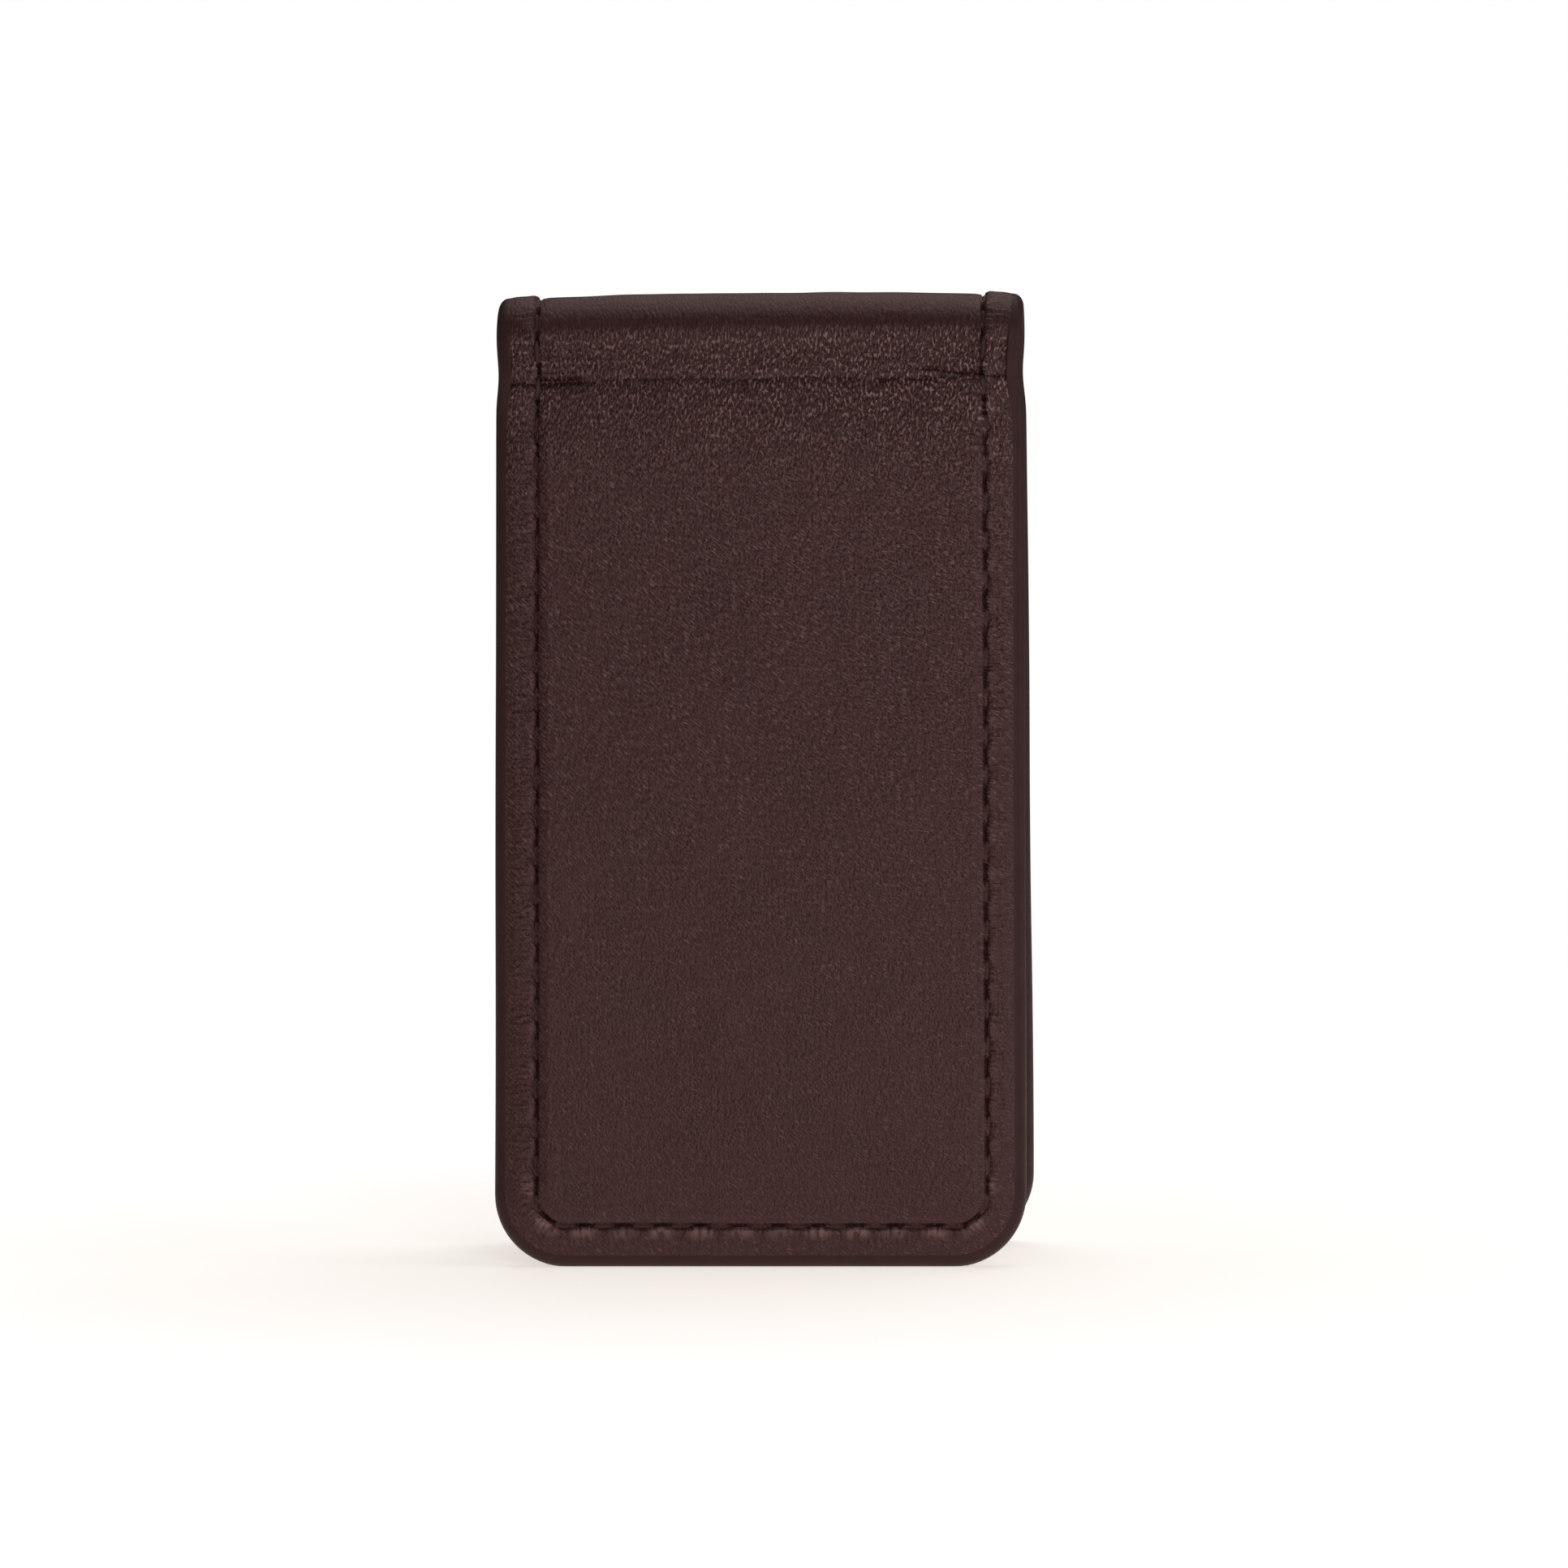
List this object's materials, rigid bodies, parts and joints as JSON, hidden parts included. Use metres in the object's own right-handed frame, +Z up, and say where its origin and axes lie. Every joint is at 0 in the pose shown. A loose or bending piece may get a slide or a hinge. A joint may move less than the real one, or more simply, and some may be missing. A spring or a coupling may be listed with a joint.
{
  "type": "money clip",
  "caption": "Folded leather magnetic money clip: two stiffened leaves joined by a soft fold, stitched all round with painted edges, standing open as a narrow A-frame.",
  "frame": {"origin": "on the floor, under the middle of the clip as it stands open on the bottom edges of both leaves", "axes": "+Z up to the fold, +X across the width, +Y towards the back leaf"},
  "size_m": [0.041, 0.0202, 0.0748],
  "materials": {
    "outer_leather": "satin, fine-grained dark brown nappa",
    "lining_leather": "matt, smooth dark brown lining leather",
    "stiffener_board": "matt fibre board",
    "magnet_nickel": "nickel plated",
    "thread": "waxed polyester thread",
    "edge_paint": "smooth satin edge paint"
  },
  "bodies": {
    "fold": {"fold_outer_leather": "outer_leather", "fold_lining": "lining_leather", "fold_needle_thread": "thread", "fold_bobbin_thread": "thread", "fold_edge_paint": "edge_paint"},
    "back_leaf": {"back_outer_leather": "outer_leather", "back_lining": "lining_leather", "back_stiffener": "stiffener_board", "back_upper_magnet": "magnet_nickel", "back_lower_magnet": "magnet_nickel", "back_needle_thread": "thread", "back_bobbin_thread": "thread", "back_edge_paint": "edge_paint"},
    "front_leaf": {"front_outer_leather": "outer_leather", "front_lining": "lining_leather", "front_stiffener": "stiffener_board", "front_upper_magnet": "magnet_nickel", "front_lower_magnet": "magnet_nickel", "front_needle_thread": "thread", "front_bobbin_thread": "thread", "front_edge_paint": "edge_paint"}
  },
  "joints": [
    {"name": "back_leaf_bend", "type": "hinge", "parent": "fold", "child": "back_leaf", "pos_m": [0, 0.0024, 0.07369], "axis": [1, 0, 0], "range_deg": [-5.5, 84.5]},
    {"name": "front_leaf_bend", "type": "hinge", "parent": "fold", "child": "front_leaf", "pos_m": [0, -0.0024, 0.07369], "axis": [-1, 0, 0], "range_deg": [-5.5, 84.5]}
  ],
  "couplings": [
    {"joint": "front_leaf_bend", "follows": "back_leaf_bend", "ratio": 1}
  ]
}
